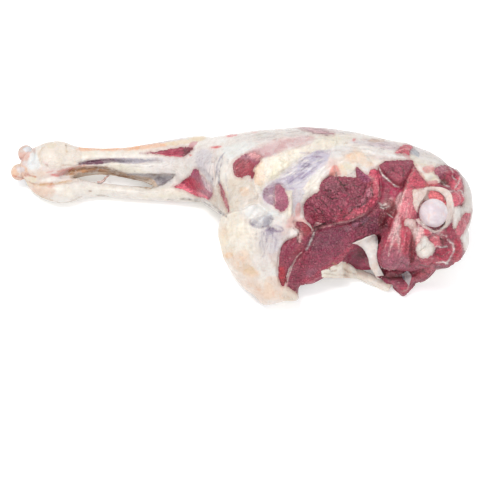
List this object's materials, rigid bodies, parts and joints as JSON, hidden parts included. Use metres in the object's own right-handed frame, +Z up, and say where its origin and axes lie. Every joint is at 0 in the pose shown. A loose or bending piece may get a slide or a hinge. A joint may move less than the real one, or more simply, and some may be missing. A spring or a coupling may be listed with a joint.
{
  "type": "raw goat leg",
  "caption": "Raw hind leg lying on its outer side: fat-covered thigh with the hip end cut open, bone ball showing, narrow shank with a free heel tendon.",
  "frame": {"origin": "middle of the underside, at the height of the surface that the leg lies on", "axes": "+X along the leg from the hock to the hip, +Z up through the inner side of the thigh, +Y towards the front edge of the thigh"},
  "size_m": [0.487, 0.2032, 0.103],
  "materials": {
    "flesh": "moist: cream fat and pale grey membrane over dark red cut muscle",
    "joint_cartilage": "smooth wet cartilage, pale lavender",
    "hock_bone": "smooth moist bone and cartilage, cream to pink",
    "fat": "soft satin fat, cream"
  },
  "bodies": {
    "root": {"leg_flesh": "flesh", "thigh_bone": "joint_cartilage", "shin_bone": "hock_bone", "flank_strip": "fat"}
  },
  "joints": []
}
